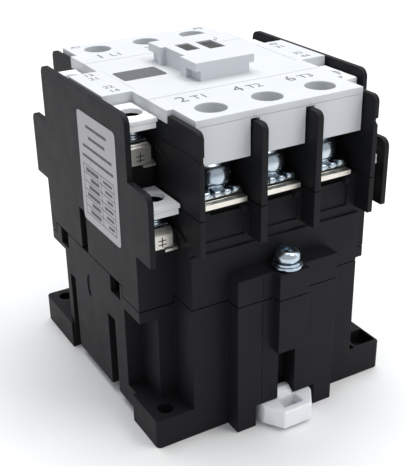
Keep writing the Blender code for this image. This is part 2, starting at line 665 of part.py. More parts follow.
def coil_winding():
    flange = BOBBIN_FLANGE[2]
    z = (CORE_FEET + CORE_YOKE + 2 * GAP + flange, BOBBIN_TOP - flange - GAP)
    winding = mesh_object("coil_winding", box_shape(both(WINDING_HALF[0]), both(WINDING_HALF[1]), z),
                          PARTS, "enamelled_copper")
    cut(winding, box_shape(both(CORE_MID + 1.9), both(CORE_Y + 1.9), (z[0] - PAST, z[1] + PAST)))
    return winding


def carrier_window_bottom():
    return DECK + GAP + PLATE + CONTACT_TIP + CONTACT_GAP + 1.0 - GAP


def contact_carrier():
    foot = CORE_FACE + CORE_GAP + CORE_LEG + CORE_YOKE + GAP
    window = (carrier_window_bottom(), CARRIER_TOP - 1.5)
    carrier = mesh_object("contact_carrier", box_shape(both(CORE_X), both(CORE_Y),
                                                       (foot, foot + CARRIER_FOOT)), PARTS,
                          "carrier_moulding")
    join(carrier, box_shape(both(CARRIER_X), both(CARRIER_Y), (foot + 1.0, CARRIER_TOP)))
    for x in POLES:
        opening = (x - WINDOW_X, x + WINDOW_X)
        cut(carrier, box_shape(opening, both(CARRIER_Y + PAST), window))
        cut(carrier, box_shape(opening, both(CARRIER_Y + PAST),
                               (foot + CARRIER_FOOT + 3.0, window[0] - 4.0)))
    frame_x, frame_y, frame_z = AUX_FRAME
    for side in SIDES:
        join(carrier, box_shape(toward(side, CARRIER_X - PAST, sum(frame_x) / 2), both(3.0), ARM))
        join(carrier, box_shape(toward(side, *frame_x), both(frame_y), frame_z))
        for gap_z in AUX_FRAME_WINDOWS:
            cut(carrier, box_shape(toward(side, frame_x[0] + 0.7, frame_x[1] - 0.6),
                                   both(frame_y + PAST), gap_z))
    for x, y in TABS:
        join(carrier, box_shape(x, y, (CARRIER_TOP - 1.2, TAB_TOP)))
    return carrier


def coil_spring(name, centre, low, high, radius, wire, turns):
    """A round-wire compression spring standing on z = low."""
    steps = 10 * turns
    curve = bpy.data.curves.new(name, "CURVE")
    curve.dimensions = "3D"
    curve.bevel_depth = wire * UNIT
    curve.bevel_resolution = 1
    curve.use_fill_caps = True
    spline = curve.splines.new("POLY")
    spline.points.add(steps)
    rise = high - low - 2 * wire
    for k in range(steps + 1):
        angle = 2 * math.pi * turns * k / steps
        spot = Vector((centre[0] + radius * math.cos(angle), centre[1] + radius * math.sin(angle),
                       low + wire + rise * k / steps))
        spline.points[k].co = (*(spot * UNIT), 1.0)
    curve.materials.append(material("spring_steel"))
    spring = bpy.data.objects.new(name, curve)
    PARTS.objects.link(spring)
    spring.parent = FRAME
    return spring


def moving_contact(name, x):
    low = DECK + GAP + PLATE + CONTACT_TIP + CONTACT_GAP
    bridge = mesh_object(name, box_shape((x - 3.6, x + 3.6), both(15.8), (low + 1.0,
                                                                         low + 1.0 + BRIDGE)),
                         PARTS, "contact_copper")
    for end in SIDES:
        join(bridge, box_shape((x - TIP_X, x + TIP_X), toward(end, *TIP_Y), (low, low + CONTACT_TIP)))
    return bridge


def aux_bridge(name, side, tier):
    """Above its fixed contacts on the lower tier, which closes, and below them on the upper."""
    x = side * AUX_X
    top = TIERS[tier]["plate"]
    low = top + CONTACT_GAP if tier == "lower" else top - AUX_PLATE - GAP - AUX_BRIDGE
    return mesh_object(name, box_shape((x - 1.6, x + 1.6), both(10.5), (low, low + AUX_BRIDGE)),
                       PARTS, "contact_copper")


def din_clip():
    """The sprung rail clip: a slide with a finger frame outside and a jaw inside."""
    back = CLIP_JAW + CLIP_JAW_LENGTH
    shoulder = CLIP_TIP - CLIP_TAPER
    outline = [(-CLIP_X, -back), (-CLIP_X, -shoulder), (-CLIP_X + CLIP_CHAMFER, -CLIP_TIP),
               (CLIP_X - CLIP_CHAMFER, -CLIP_TIP), (CLIP_X, -shoulder), (CLIP_X, -back)]
    clip = mesh_object("din_clip", outline_shape(outline, (CLIP_BOTTOM, CLIP_TOP), "Z"), PARTS,
                       "nylon")
    join(clip, box_shape(both(CLIP_X), (-back - PAST, -CLIP_JAW), (CLIP_BOTTOM - 0.5, 1.4)))
    window_x, (start, finish) = CLIP_WINDOW
    cut(clip, box_shape(both(window_x), (start - CLIP_TIP, finish - CLIP_TIP),
                        (-PAST, CLIP_TOP + PAST)))
    root, tip = CLIP_TOP - PAST, CLIP_FINGER_TOP
    finger = outline_shape([(-40.9, root), (-40.9, tip), (-42.4, tip), (-43.9, tip - 1.0),
                            (-44.6, root)], both(CLIP_FINGER_X), "X")
    join(clip, finger)
    return clip


def assemble():
    base_housing()
    contact_housing()
    arc_housing()
    front_cover()
    laminated_core("fixed_core", (CORE_FEET, CORE_FEET + CORE_YOKE),
                   (CORE_FEET + CORE_YOKE - PAST, CORE_FACE))
    mesh_object("core_cushion", box_shape(both(13.0), both(CORE_Y + 2.0),
                                          (FLOOR_TOP + GAP, CORE_FEET - GAP)), PARTS, "rubber")
    coil_bobbin()
    coil_winding()
    armature = CORE_FACE + CORE_GAP
    laminated_core("moving_core", (armature + CORE_LEG, armature + CORE_LEG + CORE_YOKE),
                   (armature, armature + CORE_LEG + PAST))
    contact_carrier()
    coil_spring("return_spring", (0.0, 0.0), BOBBIN_TOP + GAP, armature + CORE_LEG - GAP, 12.0, 0.45, 4)
    bridge_top = carrier_window_bottom() + GAP + BRIDGE
    for number, x in enumerate(POLES, start=1):
        moving_contact(f"moving_contact_{number}", x)
        coil_spring(f"contact_spring_{number}", (x, 0.0), bridge_top + GAP,
                    CARRIER_TOP - 1.5 - GAP, 2.6, 0.35, 4)
        for end_name, end in ENDS.items():
            main_terminal(f"{end_name}_terminal_{number}", x, end)
            headed_screw(f"{end_name}_screw_{number}", x, end * MAIN_SCREW_Y, DECK + GAP + PLATE,
                         MAIN_SCREW, clamp=(5.9, 4.9))
    for hand, side in HANDS.items():
        for tier, sizes in TIERS.items():
            aux_guard(f"aux_guard_{tier}_{hand}", side, tier)
            aux_bridge(f"aux_bridge_{tier}_{hand}", side, tier)
            for end_name, end in ENDS.items():
                label = f"{tier}_{hand}_{end_name}"
                aux_terminal(f"aux_terminal_{label}", side, end, tier)
                headed_screw(f"aux_screw_{label}", side * AUX_X, end * sizes["screw"],
                             sizes["plate"], AUX_SCREW)
    for name, side in (("a1", -1), ("a2", 1)):
        coil_terminal(f"coil_terminal_{name}", side)
        headed_screw(f"coil_screw_{name}", side * COIL_X, COIL_SCREW_Y, TOWER_TOP + GAP + 0.8,
                     AUX_SCREW)
    for end_name, end in ENDS.items():
        headed_screw(f"assembly_screw_{end_name}", 0.0, end * TOWER_SCREW_Y, TOWER_TOP,
                     ASSEMBLY_SCREW)
    din_clip()


assemble()
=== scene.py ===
"""Looks of the DIN rail contactor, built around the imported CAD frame.

Lengths are in millimetres and heights are measured from the mounting panel, as in the CAD source;
UNIT and RAIL_SEAT turn them into the row frame. Poles run along X and the load side faces -Y.
"""
import json
import math

import bmesh
import bpy
from mathutils import Matrix, Vector

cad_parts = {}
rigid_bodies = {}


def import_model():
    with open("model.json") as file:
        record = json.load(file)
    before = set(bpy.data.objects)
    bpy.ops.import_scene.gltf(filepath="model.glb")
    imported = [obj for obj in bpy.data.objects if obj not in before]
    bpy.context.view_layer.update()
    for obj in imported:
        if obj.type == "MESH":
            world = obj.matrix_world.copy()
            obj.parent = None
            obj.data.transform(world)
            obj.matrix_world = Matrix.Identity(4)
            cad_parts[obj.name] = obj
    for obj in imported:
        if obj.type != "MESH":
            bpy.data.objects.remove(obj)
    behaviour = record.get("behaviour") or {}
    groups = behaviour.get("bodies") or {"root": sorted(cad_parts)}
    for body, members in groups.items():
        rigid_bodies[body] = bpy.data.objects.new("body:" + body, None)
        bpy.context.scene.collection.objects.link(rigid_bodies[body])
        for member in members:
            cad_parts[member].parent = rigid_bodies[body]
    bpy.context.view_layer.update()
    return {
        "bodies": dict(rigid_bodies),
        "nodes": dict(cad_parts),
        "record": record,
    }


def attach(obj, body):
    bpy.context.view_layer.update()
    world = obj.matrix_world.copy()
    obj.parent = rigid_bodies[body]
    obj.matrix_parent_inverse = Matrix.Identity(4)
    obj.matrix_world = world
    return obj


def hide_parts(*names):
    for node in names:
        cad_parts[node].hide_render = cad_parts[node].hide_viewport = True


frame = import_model()
NODES = frame["nodes"]
BODIES = frame["bodies"]

UNIT = 0.001
RAIL_SEAT = 2.6                      # height of the rail seat above the panel
SIDES = (-1, 1)
POLES = (-16.1, 0.0, 16.1)
ENDS = {"load": -1, "line": 1}
HANDS = {"left": -1, "right": 1}
HOUSING = "housing"
TIERS = {                            # plate top, flap face, screw centre and lip of the guard
    "lower": {"plate": 60.7, "flap": 33.2, "screw": 28.4, "lip": 35.5},
    "upper": {"plate": 79.7, "flap": 23.0, "screw": 18.2, "lip": 25.2},
}
AUX_X = 30.6                         # centre line of the auxiliary terminals
COVER_TOP = 89.6
WALL_FACE = 36.5
ARC_FLOOR = 66.6                     # where the arc housing starts
SIDE_TOP = 89.3
SCREW_Y = 33.0
SCREW_SEAT = 67.8                    # height of the main screws' seat
SCREW_TOP = 76.4
DRIVER_HOLE = 4.0                    # radius of the screwdriver holes in the cover

# Details of the mouldings
FOOT_CORNER = (37.5, 39.5)
DIMPLE = ((3.0, 29.5), (1.5, 3.6))   # centre and half sizes of the ejector mark on the side walls
TOWER_FACE = 44.5
TOWER_LINE = (-8.05, -7.9)           # x of the fine joint line down the towers
TOWER_LINE_BASE = (0.5, 38.6)
TOWER_LINE_CONTACT = (40.2, 46.0)
FOOT_POCKETS = (((24.6, 28.9), (-38.3, -34.9)), ((29.9, 37.0), (-37.9, -31.2)))
FOOT_POCKET_Z = (4.6, 9.5)
UP_TIER_Y = 27.2
LOW_TIER = (38.0, 72.6)              # end and top of the lower tier's wall
POLE_FACE = 40.0                     # the contact housing's face under the main terminals
FIN_X = (25.6, 26.75)                # the thin fins beside the auxiliary terminals
AUX_THICK = 0.8
AUX_FLAP = 5.2                       # how far the terminals' ends are bent down
AUX_HALF = 2.95
LEDGE_Z = (81.1, 81.9)               # the line below the barriers' raised ends
BARRIER_NOTCH_Z = (80.6, 82.2)
COVER_LINE_Y = (19.38, 19.62)
WING_LINE = ((24.9, 25.1), (0.0, 10.2))
APRON_LINE_Z = (87.72, 87.86)
GUARD_TOP = 7.3                      # the guards' top above the plates they cover
CLIP_TOWER_GAP = -44.9               # in front of this the rail clip is exposed
CLIP_HALF = 8.2
LABEL_Y = (-21.4, 2.0)
LABEL_Z = (51.9, 83.5)
PLAQUE_X = (-24.0, -11.2)
PLAQUE_Y = (-2.2, 6.3)
CAMERA_SPOT = (-119.4, -208.2, 156.3)
CAMERA_AIM = (28.55, 26.19, -1.53)   # turn, downward tilt and roll, in degrees
SENSOR = 36.0
LENS = 68.601
FRAME_SHIFT = 0.049356


# --- Materials ---------------------------------------------------------------------------------

class Nodes:
    """Short calls for building one material's node tree."""

    def __init__(self, name):
        self.material = bpy.data.materials.new(name)
        self.material.use_nodes = True
        self.tree = self.material.node_tree
        self.shader = self.tree.nodes["Principled BSDF"]
        self.place = self.tree.nodes.new("ShaderNodeTexCoord").outputs["Object"]

    def add(self, kind, **values):
        node = self.tree.nodes.new(kind)
        for key, value in values.items():
            setattr(node, key, value)
        return node

    def link(self, source, target):
        self.tree.links.new(source, target)

    def noise(self, scale, detail=2.0, stretch=(1, 1, 1), rough=0.5):
        mapping = self.add("ShaderNodeMapping")
        mapping.inputs["Scale"].default_value = stretch
        self.link(self.place, mapping.inputs["Vector"])
        node = self.add("ShaderNodeTexNoise")
        node.inputs["Scale"].default_value = scale
        node.inputs["Detail"].default_value = detail
        node.inputs["Roughness"].default_value = rough
        self.link(mapping.outputs["Vector"], node.inputs["Vector"])
        return node.outputs["Fac"]

    def ramp(self, source, stops):
        node = self.add("ShaderNodeValToRGB")
        elements = node.color_ramp.elements
        while len(elements) < len(stops):
            elements.new(0.5)
        for element, (spot, colour) in zip(elements, stops):
            element.position = spot
            element.color = (*colour, 1.0)
        self.link(source, node.inputs["Fac"])
        return node.outputs["Color"]

    def spread(self, source, low, high):
        node = self.add("ShaderNodeMapRange")
        node.inputs["From Min"].default_value = 0.3
        node.inputs["From Max"].default_value = 0.7
        node.inputs["To Min"].default_value = low
        node.inputs["To Max"].default_value = high
        self.link(source, node.inputs["Value"])
        return node.outputs["Result"]

    def bump(self, source, distance, strength=1.0, edge=0.0):
        node = self.add("ShaderNodeBump")
        node.inputs["Strength"].default_value = strength
        node.inputs["Distance"].default_value = distance
        self.link(source, node.inputs["Height"])
        if edge:
            rounder = self.add("ShaderNodeBevel", samples=4)
            rounder.inputs["Radius"].default_value = edge
            self.link(rounder.outputs["Normal"], node.inputs["Normal"])
        self.link(node.outputs["Normal"], self.shader.inputs["Normal"])

    def set(self, **values):
        for key, value in values.items():
            self.shader.inputs[key.replace("_", " ")].default_value = value


def moulding(name, dark, light, rough, grain=0.00002, edge=0.0, **extra):
    """Moulded plastic: fine spark-eroded grain, broad flow marks and uneven gloss."""
    made = Nodes(name)
    made.link(made.ramp(made.noise(60, 4.0, (1, 1, 0.4)), ((0.3, dark), (0.7, light))),
              made.shader.inputs["Base Color"])
    made.link(made.spread(made.noise(160, 5.0), rough[0], rough[1]), made.shader.inputs["Roughness"])
    made.bump(made.noise(5200, 2.0), grain, 0.6, edge)
    made.set(**extra)
    return made.material


def metal(name, dark, light, rough, stretch=(1, 1, 1), scale=900, depth=0.00001, **extra):
    """Plated metal: drawn or tumbled texture, a slow tint change and uneven gloss."""
    made = Nodes(name)
    made.link(made.ramp(made.noise(220, 3.0), ((0.3, dark), (0.7, light))),
              made.shader.inputs["Base Color"])
    made.link(made.spread(made.noise(scale, 4.0, stretch), rough[0], rough[1]),
              made.shader.inputs["Roughness"])
    made.bump(made.noise(scale * 1.5, 3.0, stretch), depth, 0.5)
    made.set(Metallic=1.0, **extra)
    return made.material


def print_ink(name, colour):
    made = Nodes(name)
    made.link(made.ramp(made.noise(3000, 2.0), ((0.35, [c * 0.85 for c in colour]), (0.65, colour))),
              made.shader.inputs["Base Color"])
    made.link(made.spread(made.noise(900), 0.45, 0.6), made.shader.inputs["Roughness"])
    return made.material


def laminated(name):
    """Stacked core sheets: fine stripes across Y with dark joints and a ground sheen."""
    made = Nodes(name)
    wave = made.add("ShaderNodeTexWave", bands_direction="Y")
    wave.inputs["Scale"].default_value = 320
    wave.inputs["Distortion"].default_value = 0.4
    made.link(made.place, wave.inputs["Vector"])
    made.link(made.ramp(wave.outputs["Fac"], ((0.1, (0.10, 0.10, 0.10)), (0.35, (0.36, 0.36, 0.37)))),
              made.shader.inputs["Base Color"])
    made.link(made.spread(made.noise(500), 0.35, 0.55), made.shader.inputs["Roughness"])
    made.bump(wave.outputs["Fac"], 0.00006)
    made.set(Metallic=1.0)
    return made.material


def wound(name):
    """Layers of enamelled wire lying round the bobbin."""
    made = Nodes(name)
    wave = made.add("ShaderNodeTexWave", bands_direction="Z")
    wave.inputs["Scale"].default_value = 520
    wave.inputs["Distortion"].default_value = 0.6
    made.link(made.place, wave.inputs["Vector"])
    made.link(made.ramp(wave.outputs["Fac"], ((0.1, (0.18, 0.06, 0.02)), (0.6, (0.55, 0.24, 0.09)))),
              made.shader.inputs["Base Color"])
    made.link(made.spread(made.noise(300), 0.25, 0.45), made.shader.inputs["Roughness"])
    made.bump(wave.outputs["Fac"], 0.0001)
    made.set(Metallic=0.7)
    return made.material


BLACK = moulding("black_plastic", (0.0108, 0.0110, 0.0126), (0.0114, 0.0116, 0.0132), (0.50, 0.56),
                 edge=0.00025, Specular_IOR_Level=0.12)
GREY = moulding("cover_grey", (0.60, 0.62, 0.645), (0.62, 0.64, 0.665), (0.40, 0.50))
WHITE = moulding("guard_white", (0.88, 0.89, 0.90), (0.91, 0.92, 0.93), (0.32, 0.45))
NYLON = moulding("clip_nylon", (0.84, 0.86, 0.90), (0.90, 0.91, 0.94), (0.30, 0.42),
                 Subsurface_Weight=0.35, Subsurface_Radius=(0.004, 0.004, 0.005),
                 Subsurface_Scale=0.5)
CARRIER = moulding("carrier_plastic", (0.020, 0.019, 0.019), (0.030, 0.028, 0.028), (0.5, 0.65))
BOBBIN = moulding("bobbin_plastic", (0.50, 0.47, 0.39), (0.58, 0.55, 0.47), (0.45, 0.6))
RUBBER = moulding("cushion_rubber", (0.020, 0.020, 0.020), (0.032, 0.031, 0.030), (0.75, 0.9), 0.00008)
TIN = metal("tin_plate", (0.72, 0.69, 0.62), (0.82, 0.79, 0.72), (0.26, 0.42), (6, 1, 1))
NICKEL = metal("aux_plate", (0.60, 0.58, 0.54), (0.66, 0.64, 0.59), (0.32, 0.40), (1, 1, 3),
               depth=0.000004)
ZINC = metal("zinc_plate", (0.40, 0.48, 0.56), (0.58, 0.64, 0.69), (0.18, 0.28), scale=700)
COPPER = metal("contact_face", (0.62, 0.36, 0.22), (0.74, 0.45, 0.29), (0.28, 0.42))
SPRING = metal("spring_wire", (0.42, 0.42, 0.44), (0.56, 0.56, 0.58), (0.2, 0.35))
CORE = laminated("core_sheets")
WINDING = wound("coil_wire")
LABEL = moulding("label_film", (0.37, 0.365, 0.375), (0.39, 0.385, 0.395), (0.4, 0.5), 0.000005)
# The label's printing ink. On the aux terminals' stamped crosses the same dark finish is painted
# shade, standing in for the shade in their relief.
INK_AND_PAINTED_SHADE = print_ink("label_ink_and_painted_shade", (0.055, 0.052, 0.058))
LEGEND = print_ink("legend_ink", (0.16, 0.17, 0.19))
PLAQUE = print_ink("plaque_ink", (0.10, 0.105, 0.12))

FINISH = {
    "black_moulding": BLACK, "grey_moulding": GREY, "white_moulding": WHITE, "nylon": NYLON,
    "carrier_moulding": CARRIER, "bobbin_nylon": BOBBIN, "rubber": RUBBER, "tinned_copper": TIN,
    "bright_zinc": ZINC, "contact_copper": COPPER, "spring_steel": SPRING, "core_steel": CORE,
    "enamelled_copper": WINDING,
}
SLOT_OF = {row["node"]: row["material_slot"] for row in frame["record"]["subparts"]}
for node_name, node in NODES.items():
    node.data.materials.clear()
    node.data.materials.append(FINISH[SLOT_OF[node_name]])


# --- Solid modelling ---------------------------------------------------------------------------

def toward(side, near, far):
    return tuple(sorted((side * near, side * far)))


def both(reach):
    return (-reach, reach)


def box(x, y, z):
    bm = bmesh.new()
    bmesh.ops.create_cube(bm, size=1.0)
    low = Vector((min(x), min(y), min(z)))
    high = Vector((max(x), max(y), max(z)))
    bmesh.ops.scale(bm, vec=high - low, verts=bm.verts)
    bmesh.ops.translate(bm, vec=(low + high) / 2, verts=bm.verts)
    return bm


def soft_box(x, y, z, radius, segments=3, where=None):
    """A box with its edges rounded, or only those whose middle and direction pass where."""
    bm = box(x, y, z)
    soften(bm, radius, segments, where)
    return bm


def rod(x, y, z, radius, sides=48):
    bm = bmesh.new()
    place = Matrix.Translation((x, y, (min(z) + max(z)) / 2))
    bmesh.ops.create_cone(bm, cap_ends=True, segments=sides, radius1=radius, radius2=radius,
                          depth=abs(z[1] - z[0]), matrix=place)
    return bm


def spun(x, y, profile, sides=40):
    """A profile of (radius, height) points turned about an upright axis."""
    bm = bmesh.new()
    verts = [bm.verts.new((radius, 0.0, height)) for radius, height in profile]
    edges = [bm.edges.new(pair) for pair in zip(verts, verts[1:])]
    bmesh.ops.spin(bm, geom=verts + edges, axis=(0, 0, 1), cent=(0, 0, 0), steps=sides,
                   angle=2 * math.pi)
    bmesh.ops.remove_doubles(bm, verts=bm.verts, dist=0.001)
    bmesh.ops.translate(bm, vec=(x, y, 0), verts=bm.verts)
    return bm


def fillet(points, radii, steps=5):
    """A closed outline with its corners rounded; radii is one number or one for each corner."""
    if not isinstance(radii, (list, tuple)):
        radii = [radii] * len(points)
    out = []
    for k, radius in enumerate(radii):
        here = Vector(points[k])
        before = Vector(points[k - 1]) - here
        after = Vector(points[(k + 1) % len(points)]) - here
        turn = before.angle(after)
        reach = min(radius / math.tan(turn / 2), 0.49 * before.length, 0.49 * after.length)
        if radius <= 0 or reach < 0.01:
            out.append(tuple(here))
            continue
        real = reach * math.tan(turn / 2)
        bisector = (before.normalized() + after.normalized()).normalized()
        centre = here + bisector * (real / math.sin(turn / 2))
        start = here + before.normalized() * reach - centre
        finish = here + after.normalized() * reach - centre
        sweep = start.angle_signed(finish) * -1
        for step in range(steps + 1):
            angle = sweep * step / steps
            cosine, sine = math.cos(angle), math.sin(angle)
            spot = Vector((start.x * cosine - start.y * sine, start.x * sine + start.y * cosine))
            out.append(tuple(centre + spot))
    return out


def prism(points, span, axis):
    """An outline extruded across span along axis; points are the other two coordinates."""
    bm = bmesh.new()
    order = {"X": (2, 0, 1), "Y": (0, 2, 1), "Z": (0, 1, 2)}[axis]
    rings = []
    for height in span:
        ring = []
        for a, b in points:
            spots = (a, b, height)
            ring.append(bm.verts.new([spots[k] for k in order]))
        rings.append(ring)
    bm.faces.new(rings[0])
    bm.faces.new(rings[1])
    for k in range(len(points)):
        after = (k + 1) % len(points)
        bm.faces.new((rings[0][k], rings[0][after], rings[1][after], rings[1][k]))
    bmesh.ops.recalc_face_normals(bm, faces=bm.faces)
    return bm


def clean(bm):
    bmesh.ops.remove_doubles(bm, verts=bm.verts, dist=0.002)
    bmesh.ops.dissolve_limit(bm, angle_limit=math.radians(0.6), verts=bm.verts, edges=bm.edges)
    bmesh.ops.recalc_face_normals(bm, faces=bm.faces)


def sharp_edges(bm, where=None, angle=32):
    limit = math.radians(angle)
    found = []
    for edge in bm.edges:
        if len(edge.link_faces) != 2 or edge.calc_face_angle(0.0) < limit:
            continue
        middle = (edge.verts[0].co + edge.verts[1].co) / 2
        along = (edge.verts[1].co - edge.verts[0].co).normalized()
        if where is None or where(middle, along):
            found.append(edge)
    return found


def soften(bm, radius, segments=2, where=None, angle=32):
    edges = sharp_edges(bm, where, angle)
    if edges:
        bmesh.ops.bevel(bm, geom=edges, offset=radius, segments=segments, profile=0.5,
                        affect="EDGES", clamp_overlap=True)


def holder(bm, name="tool"):
    mesh = bpy.data.meshes.new(name)
    bm.to_mesh(mesh)
    bm.free()
    made = bpy.data.objects.new(name, mesh)
    bpy.context.scene.collection.objects.link(made)
    return made


def booleans(bm, adds=(), cuts=()):
    """bm with every shape of adds joined on and then every shape of cuts taken away."""
    body = holder(bm, "body")
    used = [body]
    for shapes, operation in ((adds, "UNION"), (cuts, "DIFFERENCE")):
        if not shapes:
            continue
        group = bpy.data.collections.new(operation)
        for shape in shapes:
            bmesh.ops.recalc_face_normals(shape, faces=shape.faces)
            tool = holder(shape)
            bpy.context.scene.collection.objects.unlink(tool)
            group.objects.link(tool)
            used.append(tool)
        modifier = body.modifiers.new(operation, "BOOLEAN")
        modifier.operation = operation
        modifier.solver = "EXACT"
        modifier.operand_type = "COLLECTION"
        modifier.collection = group
        modifier.use_self = True
    graph = bpy.context.evaluated_depsgraph_get()
    result = bmesh.new()
    result.from_mesh(body.evaluated_get(graph).to_mesh())
    for tool in used:
        mesh = tool.data
        bpy.data.objects.remove(tool)
        bpy.data.meshes.remove(mesh)
    clean(result)
    return result


def piece(name, bm, finish, body, stands_for=(), slot=None, smooth=38, weighted=True):
    """A finished piece in metres that rides on a CAD body."""
    bmesh.ops.translate(bm, vec=(0, 0, -RAIL_SEAT), verts=bm.verts)
    bmesh.ops.scale(bm, vec=(UNIT, UNIT, UNIT), verts=bm.verts)
    bmesh.ops.recalc_face_normals(bm, faces=bm.faces)
    made = holder(bm, name)
    made.data.shade_smooth()
    made.data.set_sharp_from_angle(angle=math.radians(smooth))
    made.data.materials.append(finish)
    if weighted:
        made.modifiers.new("even_shading", "WEIGHTED_NORMAL").keep_sharp = True
    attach(made, body)
    if stands_for:
        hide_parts(*stands_for)
        slot = slot or SLOT_OF[stands_for[0]]
    return made


def from_node(name):
    """The CAD node's mesh in millimetres above the panel, with its flat faces whole again."""
    bm = bmesh.new()
    bm.from_mesh(NODES[name].data)
    bmesh.ops.scale(bm, vec=(1 / UNIT,) * 3, verts=bm.verts)
    bmesh.ops.translate(bm, vec=(0, 0, RAIL_SEAT), verts=bm.verts)
    clean(bm)
    return bm


def merged(shapes):
    """Several separate closed shapes in one mesh."""
    whole = bmesh.new()
    for shape in shapes:
        mesh = bpy.data.meshes.new("part")
        shape.to_mesh(mesh)
        shape.free()
        whole.from_mesh(mesh)
        bpy.data.meshes.remove(mesh)
    return whole


def near(value, target, slack=0.3):
    return abs(value - target) < slack


def circle(count):
    return [2 * math.pi * k / count for k in range(count)]


def quarter(count):
    return [0.5 * math.pi * k / count for k in range(count + 1)]


# --- Housings ----------------------------------------------------------------------------------

def base_shell():
    bm = from_node("base_housing")
    soften(bm, 1.4, 4, lambda m, a: abs(a.z) > 0.9 and near(abs(m.x), FOOT_CORNER[0])
           and near(abs(m.y), FOOT_CORNER[1]))
    soften(bm, 0.28, 2)
    cuts = []
    (dimple_y, dimple_z), (half_y, half_z) = DIMPLE
    dimple = [(dimple_y + half_y * math.cos(t), dimple_z + half_z * math.sin(t)) for t in circle(24)]
    for end in SIDES:
        cuts.append(box(TOWER_LINE, toward(end, TOWER_FACE - 0.14, TOWER_FACE + 0.5), TOWER_LINE_BASE))
    for side in SIDES:
        cuts.append(prism(dimple, toward(side, WALL_FACE - 0.3, WALL_FACE + 1), "X"))
    cuts += [box(x, y, FOOT_POCKET_Z) for x, y in FOOT_POCKETS]
    piece("base_shell", booleans(bm, (), cuts), BLACK, HOUSING, ["base_housing"])


def contact_shell():
    bm = from_node("contact_housing")
    soften(bm, 2.4, 5, lambda m, a: abs(a.x) > 0.9 and abs(m.x) > 34 and (
        near(abs(m.y), UP_TIER_Y) and near(m.z, SIDE_TOP)
        or near(abs(m.y), LOW_TIER[0]) and near(m.z, LOW_TIER[1])))
    adds, cuts = [], []
    for end in SIDES:
        cuts.append(box(TOWER_LINE, toward(end, TOWER_FACE - 0.14, TOWER_FACE + 0.5),
                        TOWER_LINE_CONTACT))
        for x in POLES:
            cuts.append(box((x - 4.4, x + 4.4), toward(end, 37.6, POLE_FACE), (64.3, 67.0)))
            cuts.append(box((x - 5.9, x + 5.9), toward(end, 38.45, POLE_FACE), (57.0, 63.4)))
            for side in SIDES:
                profile = [(38.0, 62.8), (39.4, 62.8), (40.0, 65.0), (38.9, 65.9), (38.0, 65.9)]
                adds.append(prism([(end * y, z) for y, z in profile],
                                  toward(1, x + side * 4.5, x + side * 6.2), "X"))
        fin = [(end * 33.4, 60.3), (end * 33.4, 58.8), (end * 37.6, 58.4)]
        for side in SIDES:
            adds.append(prism(fin, toward(side, *FIN_X), "X"))
            cuts.append(box(toward(side, 26.0, 27.0), toward(end, 39.35, POLE_FACE), (39.0, 53.6)))
    bm = booleans(bm, adds, cuts)
    soften(bm, 0.25, 2)
    piece("contact_shell", bm, BLACK, HOUSING, ["contact_housing"])


def arc_shell():
    bm = from_node("arc_housing")
    soften(bm, 1.9, 5, lambda m, a: abs(a.x) > 0.9 and near(abs(m.y), TOWER_FACE) and m.z > 86)
    adds, cuts = [], []
    for side in SIDES:
        for end in SIDES:
            cuts.append(box(toward(side, 24.0, 27.0), toward(end, 44.0, 46.0), BARRIER_NOTCH_Z))
            cuts.append(box(toward(side, 25.9, 27.0), toward(end, 26.0, 45.0), LEDGE_Z))
            for tier in TIERS.values():
                root, tip = tier["flap"] + 0.2, tier["flap"] + 4.4
                top = tier["plate"] - 0.4
                fin = [(end * root, top), (end * root, top - 1.5), (end * tip, top - 1.9)]
                if top > ARC_FLOOR:
                    adds.append(prism(fin, toward(side, *FIN_X), "X"))
    bm = booleans(bm, adds, cuts)
    soften(bm, 0.3, 2)
    piece("arc_shell", bm, BLACK, HOUSING, ["arc_housing"])


def rim(m, a):
    """True on the round edge where a driver hole meets the cover's face."""
    reach = min(math.hypot(m.x - x, abs(m.y) - SCREW_Y) for x in POLES)
    return near(m.z, COVER_TOP, 0.05) and near(reach, DRIVER_HOLE, 0.15)


def cover_shell():
    bm = from_node("front_cover")
    soften(bm, 0.8, 4, rim)
    soften(bm, 0.4, 3)
    cuts = []
    for end in SIDES:
        cuts.append(box(both(26.4), toward(end, *COVER_LINE_Y), (COVER_TOP - 0.5, 91)))
        cuts.append(box(both(25.0), toward(end, 39.84, 41.0), APRON_LINE_Z))
        for side in SIDES:
            cuts.append(box(toward(side, *WING_LINE[0]), toward(end, *WING_LINE[1]),
                            (COVER_TOP - 0.3, 91)))
    piece("cover_shell", booleans(bm, (), cuts), GREY, HOUSING, ["front_cover"])


def guards():
    for hand, side in HANDS.items():
        for tier, sizes in TIERS.items():
            name = f"aux_guard_{tier}_{hand}"
            top = sizes["plate"] + GUARD_TOP
            bm = from_node(name)
            soften(bm, 0.55, 4, lambda m, a: near(m.z, top, 0.1))
            soften(bm, 0.25, 2)
            cuts = []
            for end in SIDES:
                face = sizes["lip"]
                cuts.append(box(toward(side, 26.0, 35.2), toward(end, face - 0.22, face + 1),
                                (top - 1.5, top - 1.28)))
                cuts.append(box(toward(side, 26.0, 27.05), toward(end, face - 1.5, face + 1),
                                (top - 3.2, top - 1.4)))
            piece(name + "_moulding", booleans(bm, (), cuts), WHITE, HOUSING, [name])


# --- Terminals and screws ----------------------------------------------------------------------

def plus(arm, half, x, y):
    """The outline of a cross recess, with square corners."""
    points = [(half, half), (half, arm), (-half, arm), (-half, half), (-arm, half), (-arm, -half),
              (-half, -half), (-half, -arm), (half, -arm), (half, -half), (arm, -half), (arm, half)]
    return [(x + a, y + b) for a, b in points]


